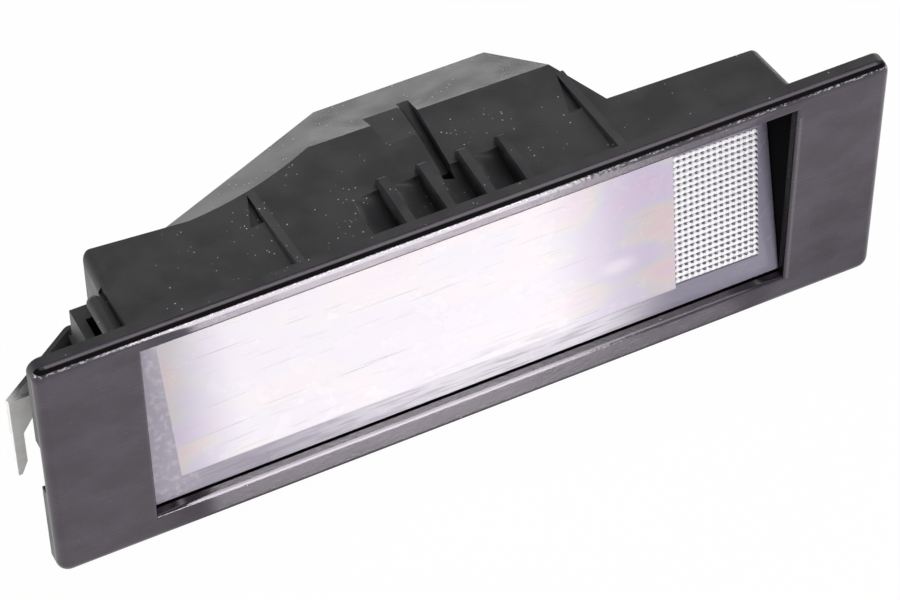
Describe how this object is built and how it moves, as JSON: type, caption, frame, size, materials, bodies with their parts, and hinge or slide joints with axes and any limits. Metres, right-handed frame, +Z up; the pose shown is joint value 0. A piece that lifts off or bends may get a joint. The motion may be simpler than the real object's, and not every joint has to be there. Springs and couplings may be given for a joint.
{
  "type": "number plate lamp",
  "caption": "Snap-in number plate lamp: long rectangular bezel, tilted clear lens with a fluted window, hump-backed moulded housing, steel spring clip, festoon bulb and blade socket.",
  "frame": {"origin": "centre of the panel cut-out, on the flange's rear face, which seats on the panel", "axes": "+X along the bezel towards the fixed lug, +Y back through the panel, +Z up across the bezel"},
  "size_m": [0.0951, 0.025, 0.0304],
  "materials": {
    "bezel_black": "satin black",
    "housing_black": "moulded matt black, dusty",
    "lens_clear": "clear, finely scratched",
    "reflector_bright": "bright",
    "bulb_clear": "clear",
    "cap_metal": "plated",
    "filament_metal": "drawn wire",
    "contact_brass": "stamped",
    "clip_steel": "satin spring steel"
  },
  "bodies": {
    "root": {"front_bezel": "bezel_black", "housing": "housing_black", "lens": "lens_clear", "reflector": "reflector_bright", "bulb_glass": "bulb_clear", "bulb_cap_left": "cap_metal", "bulb_cap_right": "cap_metal", "bulb_filament": "filament_metal", "contact_left": "contact_brass", "contact_right": "contact_brass", "spring_clip": "clip_steel"}
  },
  "joints": []
}
